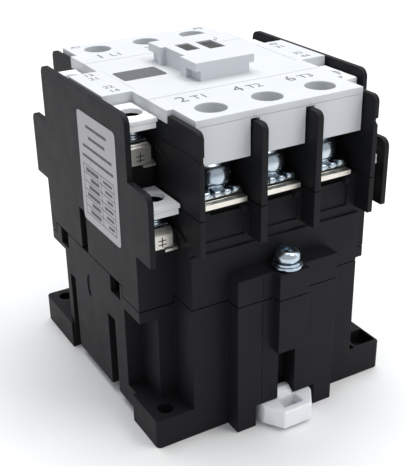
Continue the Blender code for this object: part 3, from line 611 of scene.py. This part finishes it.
def pan_head(x, y, seat, top, radius, arm, half):
    """A rounded pan head with a cross recess."""
    height = top - seat
    middle = seat + 0.32 * height
    profile = [(0.0, seat), (0.80 * radius, seat)]
    profile += [(radius * (0.80 + 0.20 * math.sin(t)), middle - (middle - seat) * math.cos(t))
                for t in quarter(5)[1:]]
    profile += [(radius * math.cos(t) ** 0.55, middle + (top - middle) * math.sin(t) ** 0.9)
                for t in quarter(12)[1:-1]]
    profile.append((0.0, top))
    recess = prism(plus(arm, half, x, y), (top - 0.34 * height, top + 1), "Z")
    core = rod(x, y, (top - 0.42 * height, top + 1), 1.5 * half, 16)
    head = booleans(spun(x, y, profile, 48), (), [recess, core])
    soften(head, 0.09, 2, lambda m, a: m.z > middle, 50)
    return head


def ring(x, y, z, inner, outer, round_by=0.15, sides=48):
    """A washer with rounded edges."""
    low, high = z
    outline = [(inner, low), (outer, low), (outer, high), (inner, high)]
    points = fillet(outline, round_by, 3)
    return spun(x, y, points + points[:1], sides)


def spring_washer(x, y, z, inner, outer):
    """A split lock washer whose ends stand a little apart."""
    washer = ring(x, y, z, inner, outer, 0.12)
    gap = box((0.0, outer + 1), both(0.3), (z[0] - 1, z[1] + 1))
    bmesh.ops.rotate(gap, matrix=Matrix.Rotation(math.radians(-60), 3, "Z"), verts=gap.verts)
    bmesh.ops.translate(gap, vec=(x, y, 0), verts=gap.verts)
    return booleans(washer, (), [gap])


def shank(x, y, z, radius, pitch=0.7):
    """A threaded shank, cut as close rings."""
    low, high = z
    turns = int((high - low) / pitch)
    profile = [(0.0, low), (0.6 * radius, low)]
    for k in range(turns):
        profile.append((radius, low + (k + 0.45) * pitch))
        profile.append((0.84 * radius, low + (k + 0.95) * pitch))
    profile += [(0.84 * radius, high), (0.0, high)]
    return spun(x, y, profile, 28)


def saddle(x, y, low):
    """The main clamp: a pressed plate whose long edges carry rounded lobes that grip the wire."""
    shapes = [soft_box((x - 5.9, x + 5.9), (y - 5.0, y + 5.0), (low, low + 1.0), 0.3)]
    for end in SIDES:
        for lobe in (-1.5, -0.5, 0.5, 1.5):
            middle = x + lobe * 2.9
            reach = 5.75 if abs(lobe) < 1 else 5.3
            shapes.append(soft_box((middle - 1.34, middle + 1.34),
                                   sorted((y + end * 2.6, y + end * reach)), (low + 0.15, low + 1.95),
                                   0.75, 4))
    return shapes


def main_screws():
    seat = SCREW_SEAT
    for number, x in enumerate(POLES, start=1):
        for end_name, end in ENDS.items():
            y = end * SCREW_Y
            name = f"{end_name}_screw_{number}"
            shapes = [shank(x, y, (seat - 6.4, seat + 1.0), 2.0), *saddle(x, y, seat + 0.33),
                      ring(x, y, (seat + 1.3, seat + 2.0), 1.6, 4.4),
                      spring_washer(x, y, (seat + 2.02, seat + 2.96), 1.6, 3.9),
                      pan_head(x, y, seat + 3.0, SCREW_TOP, 4.9, 2.4, 0.46)]
            piece(name + "_turned", merged(shapes), ZINC, name, [name])


def small_screw(name, x, y, seat, top, head, washer, reach, clamp=None):
    """A pan head on a lock washer and a flat washer, with a square pressure plate where clamped."""
    low = seat + 0.32
    shapes = [shank(x, y, (seat - reach, low + 0.2), 1.4, 0.6)]
    if clamp:
        shapes.append(soft_box((x - clamp, x + clamp), (y - clamp, y + clamp), (low, low + 0.45),
                               0.15, 2))
        low += 0.47
    thick = 0.55 * (top - seat) / 3.5
    shapes.append(ring(x, y, (low, low + thick), 1.0, washer))
    shapes.append(spring_washer(x, y, (low + thick + 0.02, low + 1.9 * thick), 1.0, 0.9 * washer))
    shapes.append(pan_head(x, y, low + 1.9 * thick + 0.04, top, head, 0.60 * head, 0.15 * head))
    piece(name + "_turned", merged(shapes), ZINC, name if name in BODIES else HOUSING, [name])


def small_screws():
    for hand, side in HANDS.items():
        for tier, sizes in TIERS.items():
            for end_name, end in ENDS.items():
                seat = sizes["plate"]
                small_screw(f"aux_screw_{tier}_{hand}_{end_name}", side * AUX_X,
                            end * sizes["screw"], seat, seat + 3.5, 2.75, 2.9, 3.3, 2.9)
    for name, side in (("a1", -1), ("a2", 1)):
        small_screw(f"coil_screw_{name}", side * 18.0, 43.8, 47.9, 51.4, 2.75, 2.9, 3.3, 2.9)
    for end_name, end in ENDS.items():
        small_screw(f"assembly_screw_{end_name}", 0.0, end * 43.4, 46.8, 51.9, 3.4, 4.1, 12.0)


def main_terminals():
    for number, x in enumerate(POLES, start=1):
        for end_name in ENDS:
            name = f"{end_name}_terminal_{number}"
            bm = from_node(name)
            soften(bm, 0.22, 3)
            piece(name + "_strip", bm, TIN, HOUSING, [name])


def aux_terminals():
    marks = []
    for hand, side in HANDS.items():
        for tier, sizes in TIERS.items():
            for end_name, end in ENDS.items():
                name = f"aux_terminal_{tier}_{hand}_{end_name}"
                x, top, flap, screw = side * AUX_X, sizes["plate"], sizes["flap"], sizes["screw"]
                low = top - AUX_THICK
                inner, foot = flap - AUX_THICK, top - AUX_FLAP
                section = [(screw - 4.0, top), (flap, top), (flap, foot), (inner, foot),
                           (inner, low), (screw - 4.0, low)]
                bend = fillet(section, [0.1, 1.7, 0.1, 0.1, 0.9, 0.1], 8)
                strip = prism([(end * y, z) for y, z in bend], (x - AUX_HALF, x + AUX_HALF), "X")
                tongue = box((x - 1.8, x + 1.8), toward(end, 7.0, screw - 3.0), (low, top))
                ledge = [(inner, foot + 0.7), (flap + 0.7, foot), (flap + 0.7, foot - 0.65),
                         (inner, foot)]
                toe = prism([(end * y, z) for y, z in ledge], toward(side, 26.75, AUX_X - 0.4), "X")
                bm = booleans(strip, [tongue, toe], [rod(x, end * screw, (top - 2, top + 1), 2.0, 32)])
                soften(bm, 0.1, 2)
                # The stamped cross marks on each flap are thin dark boxes. This is painted shade
                # standing in for the shade in the stamped relief.
                face = toward(end, flap - 0.05, flap + 0.04)
                marks.append(box((x - 0.15, x + 0.15), face, (top - 4.7, top - 2.0)))
                for z in (top - 2.9, top - 4.0):
                    marks.append(box((x - 1.1, x + 1.1), face, (z - 0.13, z + 0.13)))
                piece(name + "_stamping", bm, NICKEL, HOUSING, [name])
    # The crosses carry the dark ink finish as painted shade.
    piece("aux_terminal_crosses_painted_shade", merged(marks), INK_AND_PAINTED_SHADE, HOUSING, slot=SLOT_OF["din_clip"],
          weighted=False)


def coil_terminals():
    for name in ("coil_terminal_a1", "coil_terminal_a2"):
        bm = from_node(name)
        soften(bm, 0.15, 2)
        piece(name + "_stamping", bm, NICKEL, HOUSING, [name])


# --- Rail clip ---------------------------------------------------------------------------------

def clip():
    bm = from_node("din_clip")
    soften(bm, 1.5, 5, lambda m, a: m.y < CLIP_TOWER_GAP and abs(m.x) < CLIP_HALF)
    soften(bm, 0.45, 3)
    piece("clip_moulding", bm, NYLON, "rail_clip", ["din_clip"])


# --- Prints and labels -------------------------------------------------------------------------

def stamp(name, text, size, spot, turn=0.0, finish=None):
    """Flat printed characters on an upward face, centred on spot."""
    curve = bpy.data.curves.new(name, "FONT")
    curve.body = text
    curve.size = size
    curve.align_x = "CENTER"
    curve.align_y = "CENTER"
    curve.extrude = 0.02
    curve.resolution_u = 3
    source = bpy.data.objects.new(name + "_source", curve)
    bpy.context.scene.collection.objects.link(source)
    graph = bpy.context.evaluated_depsgraph_get()
    mesh = bpy.data.meshes.new_from_object(source.evaluated_get(graph))
    bpy.data.objects.remove(source)
    bm = bmesh.new()
    bm.from_mesh(mesh)
    bpy.data.meshes.remove(mesh)
    bmesh.ops.remove_doubles(bm, verts=bm.verts, dist=0.0005)
    bmesh.ops.rotate(bm, matrix=Matrix.Rotation(math.radians(turn), 3, "Z"), verts=bm.verts)
    bmesh.ops.translate(bm, vec=spot, verts=bm.verts)
    return bm


def legends():
    marks = []
    top = COVER_TOP + 0.03
    for number, x in enumerate(POLES):
        for end, letter in ((-1, "T"), (1, "L")):
            pole = 2 * number + (2 if letter == "T" else 1)
            y = end * 24.2
            marks.append(stamp("digit", str(pole), 5.6, (x - 3.0, y, top)))
            marks.append(stamp("letter", f"{letter}{number + 1}", 4.0, (x + 1.9, y - 0.2, top)))
    for x, y, text in ((-29.8, -8.0, "14"), (-29.8, -4.4, "22"), (-29.8, 4.4, "21"),
                       (-29.8, 8.0, "13"), (29.8, -8.0, "44"), (29.8, -4.4, "32"),
                       (29.8, 4.4, "31"), (29.8, 8.0, "43")):
        marks.append(stamp("small", text, 2.9, (x, y, top)))
    for x, text in ((-21.0, "A1"), (21.0, "A2")):
        marks.append(stamp("coil", text, 3.0, (x, 38.0, top)))
    piece("terminal_numbers", merged(marks), LEGEND, HOUSING, slot="grey_moulding", weighted=False)
    (x0, x1), (y0, y1) = PLAQUE_X, PLAQUE_Y
    plate = fillet([(x0, y0), (x1, y0), (x1, y1), (x0, y1)], 0.8, 4)
    bm = prism(plate, (COVER_TOP - 0.05, COVER_TOP + 0.05), "Z")
    piece("blank_plaque", bm, PLAQUE, HOUSING, slot="grey_moulding")


def side_label():
    """A blank rating label: a film with ruled fields and plain bars in place of any wording."""
    (y0, y1), (z0, z1) = LABEL_Y, LABEL_Z
    outline = fillet([(y0, z0), (y1, z0), (y1, z1), (y0, z1)], 1.3, 5)
    face = WALL_FACE + 0.10
    piece("rating_label", prism(outline, (-face, -WALL_FACE + 0.02), "X"), LABEL, HOUSING,
          slot="grey_moulding")
    marks = []

    def bar(y, z):
        marks.append(box((-face - 0.015, -face + 0.01), y, z))

    middle = (y0 + y1) / 2
    for row, half in enumerate((6.4, 5.2, 9.0, 9.6)):
        z = z1 - 3.4 - 2.9 * row
        bar((middle - half, middle + half), (z - 0.42, z + 0.42))
    left, right, floor, ceiling = y0 + 2.2, y1 - 2.2, z0 + 2.4, z1 - 14.6
    rows = 6
    step = (ceiling - floor) / rows
    for row in range(rows + 1):
        z = floor + row * step
        bar((left, right), (z - 0.12, z + 0.12))
    for y in (left, left + 8.0, right):
        bar((y - 0.12, y + 0.12), (floor, ceiling))
    for row in range(rows):
        z = floor + (row + 0.5) * step
        bar((left + 1.2, left + 4.6 + (row % 3)), (z - 0.4, z + 0.4))
        bar((left + 9.4, right - 1.6 - 1.3 * ((row + 1) % 3)), (z - 0.55, z + 0.55))
    piece("label_marks", merged(marks), INK_AND_PAINTED_SHADE, HOUSING, slot="grey_moulding", weighted=False)


base_shell()
contact_shell()
arc_shell()
cover_shell()
guards()
main_screws()
small_screws()
main_terminals()
aux_terminals()
coil_terminals()
clip()
legends()
side_label()


# --- Stage, light and camera -------------------------------------------------------------------

def area_light(name, spot, target, size, power, colour=(1, 1, 1)):
    data = bpy.data.lights.new(name, "AREA")
    data.shape = "RECTANGLE"
    data.size, data.size_y = size
    data.energy = power
    data.color = colour
    made = bpy.data.objects.new(name, data)
    made.location = spot
    made.rotation_mode = "QUATERNION"
    made.rotation_quaternion = (Vector(target) - Vector(spot)).to_track_quat("-Z", "Y")
    bpy.context.scene.collection.objects.link(made)


def stage():
    bm = bmesh.new()
    bmesh.ops.create_circle(bm, cap_ends=True, segments=96, radius=4.0)
    bmesh.ops.translate(bm, vec=(0, 0, -RAIL_SEAT * UNIT - 0.0001), verts=bm.verts)
    floor = holder(bm, "floor")
    made = Nodes("floor_paper")
    made.link(made.ramp(made.noise(30, 3.0), ((0.3, (0.86, 0.86, 0.86)), (0.7, (0.88, 0.88, 0.88)))),
              made.shader.inputs["Base Color"])
    made.set(Roughness=0.9)
    floor.data.materials.append(made.material)
    world = bpy.data.worlds.new("studio")
    bpy.context.scene.world = world
    world.use_nodes = True
    back = world.node_tree.nodes["Background"]
    back.inputs["Color"].default_value = (0.95, 0.97, 1.0, 1.0)
    back.inputs["Strength"].default_value = 0.6
    area_light("key", (0.35, -0.42, 0.80), (0, 0, 0.05), (0.35, 0.35), 2.2, (1.0, 0.99, 0.97))
    area_light("top", (0.1, 0.25, 0.9), (0, 0, 0.05), (0.9, 0.7), 7.5)
    area_light("right", (0.8, -0.35, 0.4), (0, 0, 0.05), (0.3, 0.7), 1.0, (0.96, 0.98, 1.0))
    bpy.context.scene.view_settings.view_transform = "Standard"


def camera():
    """Where the camera stands, where it looks and its lens."""
    spot = (Vector(CAMERA_SPOT) - Vector((0, 0, RAIL_SEAT))) * UNIT
    turn, tilt, roll = (math.radians(angle) for angle in CAMERA_AIM)
    ahead = Vector((math.sin(turn) * math.cos(tilt), math.cos(turn) * math.cos(tilt), -math.sin(tilt)))
    right = ahead.cross(Vector((0, 0, 1))).normalized()
    up = right.cross(ahead)
    across = math.cos(roll) * right + math.sin(roll) * up
    rise = math.cos(roll) * up - math.sin(roll) * right
    data = bpy.data.cameras.new("camera")
    data.sensor_width = SENSOR
    data.lens = LENS
    data.shift_x = FRAME_SHIFT
    data.clip_start, data.clip_end = 0.01, 20.0
    made = bpy.data.objects.new("camera", data)
    made.matrix_world = Matrix((
        (across.x, rise.x, -ahead.x, spot.x),
        (across.y, rise.y, -ahead.y, spot.y),
        (across.z, rise.z, -ahead.z, spot.z),
        (0, 0, 0, 1)))
    bpy.context.scene.collection.objects.link(made)
    bpy.context.scene.camera = made


stage()
camera()
